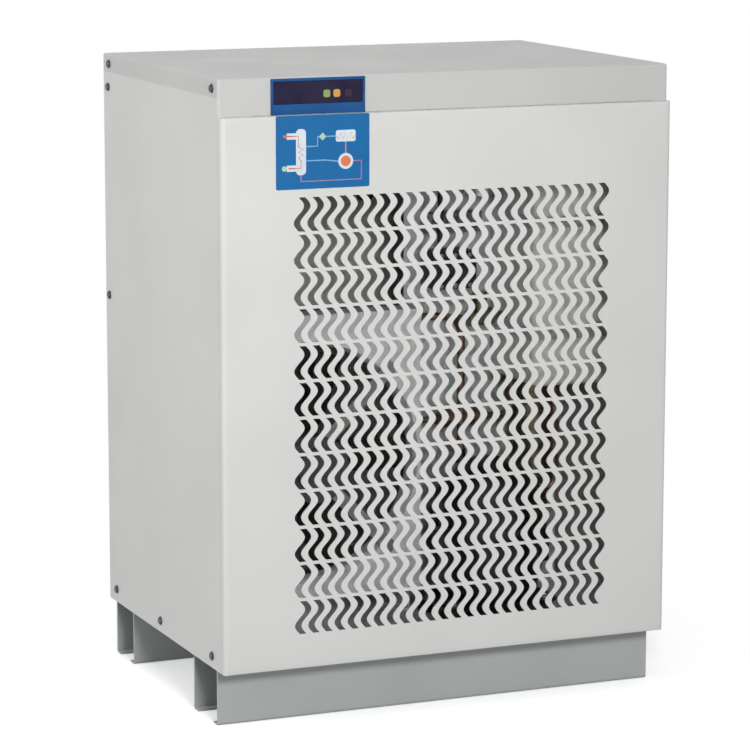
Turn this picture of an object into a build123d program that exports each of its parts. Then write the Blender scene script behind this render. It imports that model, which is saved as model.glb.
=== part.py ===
from build123d import *
import math
import os

# A refrigerated dryer for compressed air in a sheet steel cabinet, in millimetres.
# The origin is the middle of the footprint, on the floor. X points right, Y to the back, Z up.

# Cabinet
cabinet_width = 560.0
cabinet_depth = 400.0
cabinet_height = 746.0
base_height = 68.0
header_height = 42.5
skirt_height = 22.0
sheet = 1.5
sheet_bend = 3.0
front_proud = 11.0
front_bend = 5.0
header_gap = 1.5
side_return = 18.0
rear_return = 28.0

half_width = cabinet_width / 2
front_y = -cabinet_depth / 2
back_y = cabinet_depth / 2
header_bottom = cabinet_height - header_height
panel_top = header_bottom - header_gap
skirt_bottom = cabinet_height - skirt_height
inside_x = half_width - sheet
inside_front = front_y + sheet
inside_back = back_y - sheet
ceiling = cabinet_height - sheet
frame_top = ceiling - 3
panel_face = front_y - front_proud
rear_reach = front_proud + 0.5

# Base
channel_wall = 2.5
channel_height = 70.0
channel_lip = 14.0
channel_bend = 4.0
channel_end_inset = 4.0
front_channel_y = (-176.0, -96.0)
rear_channel_y = (121.0, 187.0)
pan_sheet = 2.0
pan_top = channel_height + pan_sheet
pan_flange_top = 95.0

# Cooling slots in the back
vent_width = 120.0
vent_height = 8.0
vent_columns = 2
vent_rows = 13
vent_column_pitch = 138.0
vent_row_pitch = 24.0

# Grille: one slot is a single wave, drawn with straight flanks
slot_columns = 24
slot_rows = 12
slot_column_pitch = 16.27
slot_row_pitch = 42.2
slot_height = 38.5
slot_width = 8.0
slot_wave = 6.3
grille_middle_x = 3.2
grille_top = 611.0

# Controller in the header, and the flow diagram below it
controller_x = (-208.0, -113.0)
controller_z = (710.0, 738.0)
bezel_x = (-217.2, -103.8)
bezel_z = (header_bottom, 743.8)
bezel_depth = 2.5
window_x = (-214.4, -106.6)
window_z = (715.0, 740.6)
lamp_xs = (-150.3, -138.2, -124.0)
lamp_half_width = 3.0
lamp_z = (722.2, 729.2)
label_x = (-215.3, -102.4)
label_z = (620.3, panel_top)
label_film = 0.5

# Fan and condenser
fan_x = -118.0
fan_z = 272.0
shroud_x = (-268.0, 32.0)
shroud_y = (-52.0, -18.0)
shroud_z = (108.0, 450.0)
shroud_sheet = 1.2
ring_radius = 142.0
ring_back = -24.0
ring_flare = 4.0
blade_count = 5
blade_tip = 135.0
blade_pitch = 32.0
blade_camber_radius = 95.0
blade_sheet = 2.0
hub_radius = 30.0
hub_y = (-48.0, -24.0)
motor_radius = 40.0
motor_y = (-98.0, -54.5)
bracket_sheet = 2.5
shaft_radius = 4.0
running_clearance = 0.05
coil_depth = 44.0
fin_count = 16
fin = 1.6
fin_groove = 15.0

# Compressor
compressor_x = 110.0
compressor_y = -70.0
shell_radius = 64.0
shell_bottom = 96.0
shell_top = 268.0
shell_seam_z = 182.0
dome_start = 226.0
terminal_cover_x = (70.0, 118.0)
terminal_cover_y = (-152.0, -120.0)
terminal_cover_z = (120.0, 172.0)
foot_plate = 4.0
foot_half = (75.0, 55.0)
foot_bolt = (60.0, 40.0)
mount_radius = 11.0

# Air and refrigerant
exchanger_x = (158.0, 268.0)
exchanger_y = (-100.0, 50.0)
exchanger_z = (352.0, 640.0)
strap_zs = (410.0, 545.0)
strap_width = 14.0
carrier_x = (150.0, 262.0)
carrier_top = 570.0
port_xs = (180.0, 243.0)
port_z = 604.0
port_bore = 15.15
port_thread = 26.5
port_body = 21.0
port_inner_y = 150.0
air_pipe = 14.0
copper = 4.8
separator_x = 215.0
separator_y = 20.0
separator_radius = 30.0
separator_bottom = 212.0
drain_z = 165.0
drain_bore = 5.72
drain_thread = 14.0
gland_x = 60.0
gland_z = 560.0
gland_bore = 5.0
discharge_x = 85.0
discharge_y = -50.0
suction_y = -60.0
suction_z = 218.0
condenser_inlet = (4.0, 430.0)
condenser_outlet = (-8.0, 305.0)
hot_gas_y = -20.0
drier_x = (60.0, 140.0)
plate_x = (40.0, 156.0)
plate_y = (20.0, 22.0)
plate_top = 640.0

# Electrical parts on the component plate
contactor_x = (62.0, 118.0)
contactor_z = (466.0, 511.0)
contactor_depth = 42.0
contactor_rim = 8.0
terminals_x = (62.0, 134.0)
terminals_z = (532.0, 556.0)
terminals_depth = 22.0
terminal_count = 5
terminal_gap = 8.0
terminal_pitch = 13.2
capacitor_x = 132.0
capacitor_z = 575.0
capacitor_radius = 20.0
capacitor_length = 58.0
cable_radius = 3.5
cable_turn = 40.0

os.makedirs("parts", exist_ok=True)
parts = {}


def on_side(side, near, far):
    """Two distances from the middle, as a low and a high X on the left or the right."""
    return sorted((side * near, side * far))


def block(x, y, z):
    """A plain block between two values on each axis."""
    spans = (x, y, z)
    middle = [(low + high) / 2 for low, high in spans]
    return Pos(*middle) * Box(*[high - low for low, high in spans])


def rod(start, direction, radius, length):
    """A round bar from a point, along a direction."""
    base = Plane(origin=start, z_dir=direction)
    return base * Cylinder(radius, length, align=(Align.CENTER, Align.CENTER, Align.MIN))


def hex_bar(start, direction, across_flats, length):
    """A hexagonal bar from a point, along a direction."""
    base = Plane(origin=start, z_dir=direction)
    return extrude(base * RegularPolygon(across_flats / 2, 6, major_radius=False), length)


def pipe(points, bends, radius):
    """A bent tube, closed at both ends by what it is brazed into."""
    path = FilletPolyline(*points, radius=bends)
    section = Plane(origin=path @ 0, z_dir=path % 0) * Circle(radius)
    return sweep(section, path=path)


def add(name, *pieces):
    """Keeps one named piece, or a group of like pieces, as separate solids."""
    solids = [solid for piece in pieces for solid in piece.solids()]
    parts[name] = solids[0] if len(solids) == 1 else Compound(children=solids)


def base_channel(y_range):
    """A folded channel, open below between its two lips and at both ends."""
    length = half_width - channel_end_inset
    x = (-length, length)
    outer = block(x, y_range, (0, channel_height))
    outer = fillet(outer.edges().filter_by(Axis.X), channel_bend)
    low, high = y_range
    room = block(
        (-length - 1, length + 1),
        (low + channel_wall, high - channel_wall),
        (channel_wall, channel_height - channel_wall),
    )
    mouth = block(
        (-length - 1, length + 1),
        (low + channel_lip, high - channel_lip),
        (-1, channel_wall + 1),
    )
    return outer - room - mouth


def base_pan():
    """The floor tray, with upturned flanges that the panels are screwed to."""
    return_y = inside_back - sheet - rear_return
    floor_front = block((-inside_x, inside_x), (inside_front, return_y - 1), (channel_height, pan_top))
    floor_back = block(
        (-inside_x + sheet, inside_x - sheet),
        (return_y - 1, inside_back - sheet),
        (channel_height, pan_top),
    )
    z = (channel_height, pan_flange_top)
    front = block((-inside_x, inside_x), (inside_front, inside_front + pan_sheet), z)
    back = block(
        (-inside_x + pan_sheet, inside_x - pan_sheet),
        (inside_back - sheet - pan_sheet, inside_back - sheet),
        z,
    )
    pan = floor_front + floor_back + front + back
    for side in (-1, 1):
        edge = on_side(side, inside_x, inside_x - pan_sheet)
        pan += block(edge, (inside_front, return_y - 1), z)
    return pan


def side_panel(side):
    """A flat side with its front edge folded in behind the front panel."""
    z = (base_height, skirt_bottom)
    x = on_side(side, half_width, half_width - side_return)
    outer = block(x, (front_y, back_y), z)
    fold = outer.edges().filter_by(Axis.Z).sort_by(Axis.Y)[:2].sort_by(Axis.X)[0 if side < 0 else -1]
    outer = fillet(fold, 2.5)
    room = block(
        on_side(side, inside_x, half_width - side_return - 1),
        (inside_front, back_y + 1),
        (base_height - 1, skirt_bottom + 1),
    )
    header_room = block((-half_width, half_width), (front_y, inside_front), (header_bottom, skirt_bottom))
    return outer - room - header_room


def rear_panel():
    """The back, with side returns, pipe holes and cooling slots."""
    z = (base_height, frame_top)
    y = (inside_back - sheet, inside_back)
    panel = block((-inside_x, inside_x), y, z)
    for side in (-1, 1):
        edge = on_side(side, inside_x, inside_x - sheet)
        panel += block(edge, (y[0] - rear_return, y[0]), (pan_top, frame_top))
    round_holes = [(x, port_z, port_body + 0.1) for x in port_xs]
    round_holes += [(separator_x, drain_z, 10.1), (gland_x, gland_z, 10.1)]
    holes = [rod((x, y[0] - 1, z), (0, 1, 0), radius, 4) for x, z, radius in round_holes]
    for column in range(vent_columns):
        x = fan_x + (column - (vent_columns - 1) / 2) * vent_column_pitch
        for row in range(vent_rows):
            middle = fan_z + (row - (vent_rows - 1) / 2) * vent_row_pitch
            holes.append(
                block(
                    (x - vent_width / 2, x + vent_width / 2),
                    (y[0] - 1, y[1] + 1),
                    (middle - vent_height / 2, middle + vent_height / 2),
                )
            )
    return panel - holes


def top_cover():
    """The lid: its front runs down as the header, its other sides as a shallow skirt."""
    outer = block((-half_width, half_width), (front_y, back_y), (header_bottom, cabinet_height))
    soft = outer.faces().sort_by(Axis.Z)[-1].edges() + outer.edges().filter_by(Axis.Z).sort_by(Axis.Y)[:2]
    outer = fillet(soft, sheet_bend)
    room = block((-inside_x, inside_x), (inside_front, inside_back), (header_bottom - 1, ceiling))
    below_skirt = block(
        (-half_width - 1, half_width + 1),
        (inside_front, back_y + 1),
        (header_bottom - 1, skirt_bottom),
    )
    return outer - room - below_skirt - controller_hole(front_y - 1, inside_front + 1)


def controller_hole(y_front, y_back):
    """The cut-out that the controller reaches through."""
    x = (controller_x[0] - 2, controller_x[1] + 2)
    z = (controller_z[0] - 1, controller_z[1] + 1)
    return block(x, (y_front, y_back), z)


def front_top_rail():
    """The folded rail across the front that the header and lid are screwed to."""
    rail_bottom = header_bottom - 14
    wing_bottom = skirt_bottom - 20
    wing_back = -152.0
    outer = block((-inside_x, inside_x), (inside_front, wing_back), (rail_bottom, frame_top))
    outer = fillet(outer.edges().filter_by(Axis.Z).sort_by(Axis.Y)[:2], 3)
    width = inside_x - pan_sheet
    face_back = inside_front + pan_sheet
    room = block((-width, width), (face_back, wing_back + 1), (rail_bottom - 1, frame_top + 1))
    room = fillet(room.edges().filter_by(Axis.Z).sort_by(Axis.Y)[:2], 1)
    below_wings = block(
        (-half_width, half_width),
        (face_back + 2, wing_back + 1),
        (rail_bottom - 1, wing_bottom),
    )
    return outer - room - below_wings - controller_hole(inside_front - 1, face_back + 1)


def front_post(side):
    """A corner angle between the base tray and the top rail, with a tongue behind the rail."""
    outer_x = inside_x - pan_sheet
    leg = 25.0
    wall = 2.0
    y = (inside_front + pan_sheet, inside_front + pan_sheet + leg)
    z = (pan_top, header_bottom - 14)
    post = block(on_side(side, outer_x, outer_x - leg), (y[0], y[0] + wall), z)
    post += block(on_side(side, outer_x, outer_x - wall), y, z)
    return post + block(on_side(side, outer_x - 8, outer_x - leg), (y[0], y[0] + wall), (z[1] - 1, z[1] + 30))


def wave_slot():
    """One grille slot: a wave one period long, with a square end at each end."""
    half = slot_width / 2
    heights = (0.5, 0.25, -0.25, -0.5)
    offsets = (0, slot_wave, -slot_wave, 0)
    right = [(shift + half, height * slot_height) for height, shift in zip(heights, offsets)]
    left = [(shift - half, height * slot_height) for height, shift in zip(heights, offsets)]
    return Polyline(*right, *reversed(left), close=True)


def front_panel():
    """The front tray, folded back all round, with the field of wave slots."""
    outer = block((-half_width, half_width), (panel_face, front_y), (base_height, panel_top))
    front_edges = outer.edges().filter_by(Axis.Z).sort_by(Axis.Y)[:2]
    outer = fillet(front_edges, front_bend)
    room = block(
        (-inside_x, inside_x),
        (panel_face + sheet, front_y + 1),
        (base_height + sheet, panel_top - sheet),
    )
    room = fillet(room.edges().filter_by(Axis.Z).sort_by(Axis.Y)[:2], front_bend - sheet)
    tray = outer - room
    middle_z = grille_top - slot_height / 2
    face = Plane(origin=(0, panel_face - 1, 0), x_dir=(1, 0, 0), z_dir=(0, -1, 0))
    slot = make_face(wave_slot())
    cutters = []
    for row in range(slot_rows):
        for column in range(slot_columns):
            x = grille_middle_x + (column - (slot_columns - 1) / 2) * slot_column_pitch
            z = middle_z - row * slot_row_pitch
            cutters.append(extrude(face * Pos(x, z) * slot, -(sheet + 2)))
    return tray - cutters


def front_panel_clips():
    """Four spring clips that hold the front panel on the side folds."""
    clips = []
    for side in (-1, 1):
        for z in (130.0, 640.0):
            x = on_side(side, inside_x - 4, inside_x - 15)
            clips.append(block(x, (panel_face + sheet, front_y), (z - 8, z + 8)))
    return clips


def screw_heads(points, direction):
    """Hexagon heads standing on a panel; their shanks aren't drawn."""
    return [hex_bar(point, direction, 8.0, 2.5) for point in points]


def side_screws(side):
    places = ((179, 734), (-182, 734), (183, 706), (187, 451), (173, 84), (9, 82), (-170, 82))
    return screw_heads([(side * half_width, y, z) for y, z in places], (side, 0, 0))


def component_plate():
    """The galvanised plate inside that the electrical parts hang on."""
    plate = block(plate_x, plate_y, (pan_top, plate_top))
    foot = block(plate_x, (plate_y[0], plate_y[1] + 28), (pan_top, pan_top + 2))
    edge = block((plate_x[1] - 2, plate_x[1]), (plate_y[0], plate_y[1] + 20), (pan_top, plate_top))
    return plate + foot + edge


def controller():
    """The housing behind the header, its blue bezel, window and lamps."""
    housing = block(controller_x, (front_y, -162.0), controller_z)
    bezel = block(bezel_x, (front_y - bezel_depth, front_y), bezel_z)
    bezel = fillet(bezel.edges().filter_by(Axis.Y), 1.5)
    bezel -= block(window_x, (front_y - bezel_depth - 1, front_y + 1), window_z)
    window = block(window_x, (front_y - 2.0, front_y - 0.8), window_z)
    lamps = [
        block((x - lamp_half_width, x + lamp_half_width), (front_y - 0.8, front_y), lamp_z)
        for x in lamp_xs
    ]
    add("controller_housing", housing)
    add("display_bezel", bezel)
    add("display_window", window)
    add("status_lamps", *lamps)
    add("schematic_label", block(label_x, (panel_face - label_film, panel_face), label_z))


def fan_shroud():
    """The box in front of the condenser, with a flared ring round the fan."""
    x, y, z = shroud_x, shroud_y, shroud_z
    box = block(x, y, z)
    room = block(
        (x[0] + shroud_sheet, x[1] - shroud_sheet),
        (y[0] + shroud_sheet, y[1] + 1),
        (z[0] + shroud_sheet, z[1] - shroud_sheet),
    )
    mouth = ring_radius + ring_flare
    hole = rod((fan_x, y[0] - 1, fan_z), (0, 1, 0), mouth, 10)
    flare_end = y[0] + 2 * ring_flare
    outline = Polyline(
        (mouth, y[0]),
        (ring_radius, flare_end),
        (ring_radius, ring_back),
        (ring_radius + shroud_sheet, ring_back),
        (ring_radius + shroud_sheet, flare_end),
        (mouth + shroud_sheet, y[0] + shroud_sheet),
        (mouth + shroud_sheet, y[0]),
        close=True,
    )
    ring = revolve(make_face(outline), Axis.Y)
    return box - room - hole + Pos(fan_x, 0, fan_z) * ring


def fan_blade():
    """One cambered blade, cut to a swept outline and reaching out along X."""
    root, tip = hub_radius - 4, blade_tip
    outline = Polyline(
        (root, -9),
        (tip * 0.72, -34),
        (tip * 0.93, -38),
        (tip * 0.995, -18),
        (tip * 0.985, 20),
        (tip * 0.9, 26),
        (root, 12),
        close=True,
    )
    cutter = extrude(Plane.XZ * make_face(outline), 40, both=True)
    bend = blade_camber_radius
    tube = Rot(0, 90, 0) * Cylinder(bend, 2 * tip)
    hollow = Rot(0, 90, 0) * Cylinder(bend - blade_sheet, 2 * tip + 2)
    skin = Pos(0, bend, 0) * (tube - hollow)
    skin &= block((root - 5, tip + 5), (-1, 25), (-60, 60))
    return Rot(blade_pitch, 0, 0) * (skin & cutter)


def fan_wheel():
    """Hub and blades as one moulding."""
    low, high = hub_y
    hub = rod((0, low, 0), (0, 1, 0), hub_radius, high - low)
    hub = chamfer(hub.edges().group_by(Axis.Y)[0], 4)
    middle = (low + high) / 2
    wheel = hub
    for index in range(blade_count):
        wheel += Rot(0, index * 360 / blade_count, 0) * Pos(0, middle - 2, 0) * fan_blade()
    wheel &= rod((0, low - 1, 0), (0, 1, 0), blade_tip, high - low + 4)
    wheel -= rod((0, low - 1, 0), (0, 1, 0), shaft_radius + 0.01, 19)
    return Pos(fan_x, 0, fan_z) * wheel


def fan_motor():
    """A shaded pole motor: a round can with a stepped end shield and a blind bearing bore."""
    can = rod((fan_x, motor_y[0] + 6, fan_z), (0, 1, 0), motor_radius, motor_y[1] - motor_y[0] - 6)
    shield = rod((fan_x, motor_y[0], fan_z), (0, 1, 0), motor_radius - 14, 6)
    bore = rod((fan_x, motor_y[1] - 26, fan_z), (0, 1, 0), shaft_radius + running_clearance, 30)
    return can + shield - bore


def motor_bracket():
    """A flat four-armed spider that holds the motor across the ring."""
    y = motor_y[1]
    disc = rod((0, y, 0), (0, 1, 0), 36, bracket_sheet)
    reach = ring_radius + ring_flare + 14
    spider = disc
    for angle in (45, 135, 225, 315):
        arm = block((20, reach), (y, y + bracket_sheet), (-8, 8))
        spider += Rot(0, angle, 0) * arm
    spider -= rod((0, y - 1, 0), (0, 1, 0), 9, 6)
    return Pos(fan_x, 0, fan_z) * spider


def fan_shaft():
    start = motor_y[1] - 25
    return rod((fan_x, start, fan_z), (0, 1, 0), shaft_radius, hub_y[0] + 17 - start)


def condenser_coil():
    """The fin pack, grooved front and back between its fins."""
    x0, x1 = shroud_x[0] + 2, shroud_x[1] - 2
    y0 = shroud_y[1]
    y1 = y0 + coil_depth
    pitch = (x1 - x0 - fin) / (fin_count - 1)
    front, back = [], []
    for index in range(fin_count):
        left = x0 + index * pitch
        right = left + fin
        front += [(left, y0 + fin_groove), (left, y0), (right, y0), (right, y0 + fin_groove)]
        back += [(left, y1 - fin_groove), (left, y1), (right, y1), (right, y1 - fin_groove)]
    outline = Polyline(*front[1:-1], *reversed(back[1:-1]), close=True)
    pack = Plane.XY.offset(shroud_z[0]) * make_face(outline)
    return extrude(pack, shroud_z[1] - shroud_z[0])


def condenser_plate(side):
    """An end plate of the condenser on its leg and foot; the right one has the pipe stubs."""
    x = (shroud_x[0], shroud_x[0] + 2) if side < 0 else (shroud_x[1] - 2, shroud_x[1])
    y = (shroud_y[1], shroud_y[1] + coil_depth)
    upright = block(x, y, (pan_top, shroud_z[1]))
    foot_x = (x[0] + 2, x[1] + 14) if side < 0 else (x[0] - 14, x[1] - 2)
    plate = upright + block((min(x[0], foot_x[0]), max(x[1], foot_x[1])), y, (pan_top, pan_top + 2))
    if side > 0:
        plate += rod((x[1], condenser_inlet[0], condenser_inlet[1]), (1, 0, 0), copper + 1.2, 4)
        plate += rod((x[1], condenser_outlet[0], condenser_outlet[1]), (1, 0, 0), copper, 4)
    return plate


def compressor_shell():
    """Two welded cups with a seam flange, and its suction and discharge stubs."""
    seam = shell_radius + 5
    rise = shell_top - dome_start
    dome_radius = (shell_radius**2 + rise**2) / (2 * rise)
    half_turn = math.asin(shell_radius / dome_radius) / 2
    dome_middle = (dome_radius * math.sin(half_turn), shell_top - dome_radius * (1 - math.cos(half_turn)))
    profile = [
        Line((0, shell_bottom), (shell_radius - 12, shell_bottom)),
        Line((shell_radius - 12, shell_bottom), (shell_radius, shell_bottom + 14)),
        Line((shell_radius, shell_bottom + 14), (shell_radius, shell_seam_z)),
        Line((shell_radius, shell_seam_z), (seam, shell_seam_z)),
        Line((seam, shell_seam_z), (seam, shell_seam_z + 6)),
        Line((seam, shell_seam_z + 6), (shell_radius, shell_seam_z + 6)),
        Line((shell_radius, shell_seam_z + 6), (shell_radius, dome_start)),
        ThreePointArc((shell_radius, dome_start), dome_middle, (0, shell_top)),
        Line((0, shell_top), (0, shell_bottom)),
    ]
    shell = revolve(Plane.XZ * make_face(Curve() + profile), Axis.Z)
    shell = Pos(compressor_x, compressor_y, 0) * shell
    shell += rod((discharge_x, discharge_y, dome_start + 9), (0, 0, 1), copper + 1.5, 40)
    shell += rod((compressor_x + 40, suction_y, suction_z), (1, 0, 0), copper + 1.5, 34)
    return shell


def compressor_feet():
    """The foot plate on its rubber mounts, with a bolt head over each mount."""
    x, y = compressor_x, compressor_y
    bottom = shell_bottom - foot_plate
    plate = block(
        (x - foot_half[0], x + foot_half[0]),
        (y - foot_half[1], y + foot_half[1]),
        (bottom, shell_bottom),
    )
    plate = chamfer(plate.edges().filter_by(Axis.Z), 12)
    mounts, heads = [], []
    for dx in (-foot_bolt[0], foot_bolt[0]):
        for dy in (-foot_bolt[1], foot_bolt[1]):
            mounts.append(rod((x + dx, y + dy, pan_top), (0, 0, 1), mount_radius, bottom - pan_top))
            heads.append(hex_bar((x + dx, y + dy, shell_bottom), (0, 0, 1), 13.0, 6))
    add("compressor_foot_plate", plate)
    add("compressor_mounts", *mounts)
    add("compressor_bolts", *heads)


def compressor_terminal_cover():
    """The snap-on cover over the terminals, hollowed to sit on the shell."""
    cover = block(terminal_cover_x, terminal_cover_y, terminal_cover_z)
    cover = fillet(cover.edges().filter_by(Axis.Z).sort_by(Axis.Y)[:2], 6)
    return cover - rod((compressor_x, compressor_y, 100), (0, 0, 1), shell_radius, 100)


def heat_exchanger():
    """The exchanger in its foam jacket, two straps and the bracket that carries it."""
    jacket = block(exchanger_x, exchanger_y, exchanger_z)
    jacket = chamfer(jacket.edges().filter_by(Axis.Z), 4)
    for x in port_xs:
        jacket += rod((x, exchanger_y[1], port_z), (0, 1, 0), air_pipe + 3, 8)
    straps = []
    for z in strap_zs:
        x = (exchanger_x[0] - 1, exchanger_x[1] + 1)
        y = (exchanger_y[0] - 1, exchanger_y[1] + 1)
        inside_z = (z - 1, z + strap_width + 1)
        band = chamfer(block(x, y, (z, z + strap_width)).edges().filter_by(Axis.Z), 4.4)
        core = chamfer(block(exchanger_x, exchanger_y, inside_z).edges().filter_by(Axis.Z), 4)
        straps.append(band - core)
    add("exchanger_jacket", jacket)
    add("exchanger_straps", *straps)
    post_y = (exchanger_y[1] + 1, exchanger_y[1] + 3)
    bracket = block(carrier_x, post_y, (pan_top, carrier_top))
    bracket += block(carrier_x, (post_y[0], post_y[0] + 30), (pan_top, pan_top + 2))
    bracket -= rod((separator_x, post_y[0] - 1, drain_z), (0, 1, 0), 6.5, 4)
    add("exchanger_bracket", bracket)


def moisture_separator():
    """The separator bowl under the exchanger, with its drain boss."""
    x, y, z = separator_x, separator_y, separator_bottom
    bowl = rod((x, y, z), (0, 0, 1), separator_radius, exchanger_z[0] - z)
    bowl = chamfer(bowl.edges().group_by(Axis.Z)[0], 10)
    neck = rod((x, y, z - 12), (0, 0, 1), 9, 14)
    return bowl + neck


def drain():
    """The timed drain valve, its coil, the drain tube and the outlet at the back."""
    x, y = separator_x, separator_y
    body_bottom = drain_z - 13
    coil_bottom = body_bottom - 40
    body = block((x - 14, x + 14), (y - 14, y + 14), (body_bottom, separator_bottom - 12))
    spout = rod((x, y + 14, drain_z), (0, 1, 0), 6, 6)
    coil = block((x - 16, x + 16), (y - 20, y + 20), (coil_bottom, body_bottom))
    coil = chamfer(coil.edges().filter_by(Axis.Z), 3)
    tube_start, tube_end = y + 20, 172
    port_face = back_y + rear_reach
    port = rod((x, tube_end, drain_z), (0, 1, 0), 10, inside_back - tube_end)
    port += hex_bar((x, inside_back, drain_z), (0, 1, 0), 24.0, port_face - inside_back)
    port -= rod((x, port_face - drain_thread, drain_z), (0, 1, 0), drain_bore, drain_thread + 1)
    add("drain_valve", body + spout)
    add("drain_valve_coil", coil)
    add("drain_tube", rod((x, tube_start, drain_z), (0, 1, 0), 4, tube_end - tube_start))
    add("drain_port", port)


def air_ports():
    """Threaded bulkhead ports at the back, their lock nuts and the pipes to the exchanger."""
    face = back_y + rear_reach
    nuts = []
    for name, x in zip(("air_inlet", "air_outlet"), port_xs):
        port = rod((x, port_inner_y, port_z), (0, 1, 0), port_body, inside_back - port_inner_y)
        port += hex_bar((x, inside_back, port_z), (0, 1, 0), 50.0, face - inside_back)
        port -= rod((x, face - port_thread, port_z), (0, 1, 0), port_bore, port_thread + 1)
        nut = hex_bar((x, inside_back - sheet - 9, port_z), (0, 1, 0), 50.0, 9)
        nuts.append(nut - rod((x, 160, port_z), (0, 1, 0), port_body + 0.05, 60))
        start = exchanger_y[1] + 8
        add(name + "_port", port)
        add(name + "_pipe", rod((x, start, port_z), (0, 1, 0), air_pipe, port_inner_y - start))
    add("port_lock_nuts", *nuts)


def cable_gland():
    """The inlet for the mains cable: a domed gland through the back."""
    x, z = gland_x, gland_z
    inner_end = 186.0
    outer_end = back_y + rear_reach
    gland = rod((x, inner_end, z), (0, 1, 0), 10, inside_back - inner_end)
    gland += hex_bar((x, inside_back, z), (0, 1, 0), 24.0, 6)
    dome = rod((x, inside_back + 6, z), (0, 1, 0), 10.5, outer_end - inside_back - 6)
    gland += chamfer(dome.edges().group_by(Axis.Y)[-1], 2)
    return gland - rod((x, inner_end - 1, z), (0, 1, 0), gland_bore, outer_end - inner_end + 2)


def copper_lines():
    """The refrigerant lines, each ending flat on what it is brazed to."""
    stub_end = shroud_x[1] + 4
    inlet_y, inlet_z = condenser_inlet
    outlet_y, outlet_z = condenser_outlet
    discharge_route = [
        (discharge_x, discharge_y, dome_start + 49),
        (discharge_x, discharge_y, inlet_z),
        (discharge_x, inlet_y, inlet_z),
        (stub_end, inlet_y, inlet_z),
    ]
    discharge = pipe(discharge_route, 20, copper)
    discharge += rod((discharge_x, hot_gas_y, inlet_z), (1, 0, 0), 3.2, 22)
    suction_start = compressor_x + 74
    suction_x = suction_start + 22
    suction_route = [
        (suction_start, suction_y, suction_z),
        (suction_x, suction_y, suction_z),
        (suction_x, suction_y, exchanger_z[0]),
    ]
    liquid_x = exchanger_x[0] + 14
    liquid_route = [
        (drier_x[1], outlet_y, outlet_z),
        (liquid_x, outlet_y, outlet_z),
        (liquid_x, outlet_y, exchanger_z[0]),
    ]
    add("discharge_line", discharge)
    add("suction_line", pipe(suction_route, 14, copper))
    add("liquid_line", pipe(liquid_route, 14, copper - 1))
    outlet = rod((stub_end, outlet_y, outlet_z), (1, 0, 0), copper - 1, drier_x[0] - stub_end)
    add("condenser_outlet_line", outlet)


def filter_drier():
    """A spun copper cartridge on the liquid line."""
    y, z = condenser_outlet
    neck = 10.0
    barrel = rod((drier_x[0] + neck, y, z), (1, 0, 0), 11, drier_x[1] - drier_x[0] - 2 * neck)
    barrel = chamfer(barrel.edges().filter_by(GeomType.CIRCLE), 5)
    return barrel + rod((drier_x[0], y, z), (1, 0, 0), copper, drier_x[1] - drier_x[0])


def hot_gas_valve():
    """The bypass valve that keeps the exchanger from freezing."""
    y, z = hot_gas_y, condenser_inlet[1]
    x0 = discharge_x + 22
    body = hex_bar((x0, y, z), (1, 0, 0), 19.0, 32)
    body += rod((x0 + 32, y, z), (1, 0, 0), 5, exchanger_x[0] - x0 - 32)
    return body + rod((x0 + 16, y, z), (0, 0, 1), 9, 30)


def electrics():
    """Contactor, terminal block and capacitor on the component plate, and the control cable."""
    face = plate_y[0]
    contactor = block(contactor_x, (face - contactor_depth, face), contactor_z)
    recess_x = (contactor_x[0] + contactor_rim, contactor_x[1] - contactor_rim)
    recess_z = (contactor_z[0] + contactor_rim, contactor_z[1] - contactor_rim)
    contactor -= block(recess_x, (face - contactor_depth - 1, face - contactor_depth + 8), recess_z)
    terminals = block(terminals_x, (face - terminals_depth, face), terminals_z)
    for index in range(terminal_count):
        x = terminals_x[0] + 6 + index * terminal_pitch
        gap_y = (face - terminals_depth - 1, face - terminals_depth + 8)
        terminals -= block((x, x + terminal_gap), gap_y, (terminals_z[0] + 4, terminals_z[1] - 4))
    clip_x = (capacitor_x - capacitor_radius, capacitor_x + capacitor_radius)
    clip = block(clip_x, (face - 3, face), (capacitor_z + 15, capacitor_z + 29))
    start = (capacitor_x, face - capacitor_radius, capacitor_z)
    add("contactor", contactor)
    add("terminal_block", terminals)
    add("run_capacitor", rod(start, (0, 0, 1), capacitor_radius, capacitor_length) - clip)
    add("capacitor_clip", clip)
    drop_x = contactor_x[0] + 14
    route = [
        (controller_x[1], -181, 724),
        (-50, -181, 724),
        (drop_x, -8, 716),
        (drop_x, -8, contactor_z[1]),
    ]
    add("control_cable", pipe(route, cable_turn, cable_radius))


add("front_base_channel", base_channel(front_channel_y))
add("rear_base_channel", base_channel(rear_channel_y))
add("base_pan", base_pan())
add("left_side_panel", side_panel(-1))
add("right_side_panel", side_panel(1))
add("rear_panel", rear_panel())
add("top_cover", top_cover())
add("front_top_rail", front_top_rail())
add("left_front_post", front_post(-1))
add("right_front_post", front_post(1))
add("front_panel", front_panel())
add("front_panel_clips", *front_panel_clips())
add("left_side_screws", *side_screws(-1))
add("right_side_screws", *side_screws(1))
rear_places = [(x, z) for x in (-268, 268) for z in (110, 290, 470, 650)]
add("rear_panel_screws", *screw_heads([(x, inside_back, z) for x, z in rear_places], (0, 1, 0)))
add("component_plate", component_plate())
controller()

add("fan_shroud", fan_shroud())
add("fan_wheel", fan_wheel())
add("fan_shaft", fan_shaft())
add("fan_motor", fan_motor())
add("motor_bracket", motor_bracket())
add("condenser_coil", condenser_coil())
add("condenser_left_plate", condenser_plate(-1))
add("condenser_right_plate", condenser_plate(1))

add("compressor_shell", compressor_shell())
compressor_feet()
add("compressor_terminal_cover", compressor_terminal_cover())
heat_exchanger()
add("moisture_separator", moisture_separator())
drain()
air_ports()
add("cable_gland", cable_gland())
copper_lines()
add("filter_drier", filter_drier())
add("hot_gas_valve", hot_gas_valve())
electrics()

for name, shape in parts.items():
    export_step(shape, os.path.join("parts", name + ".step"))
    print(name, round(shape.volume))
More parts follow.
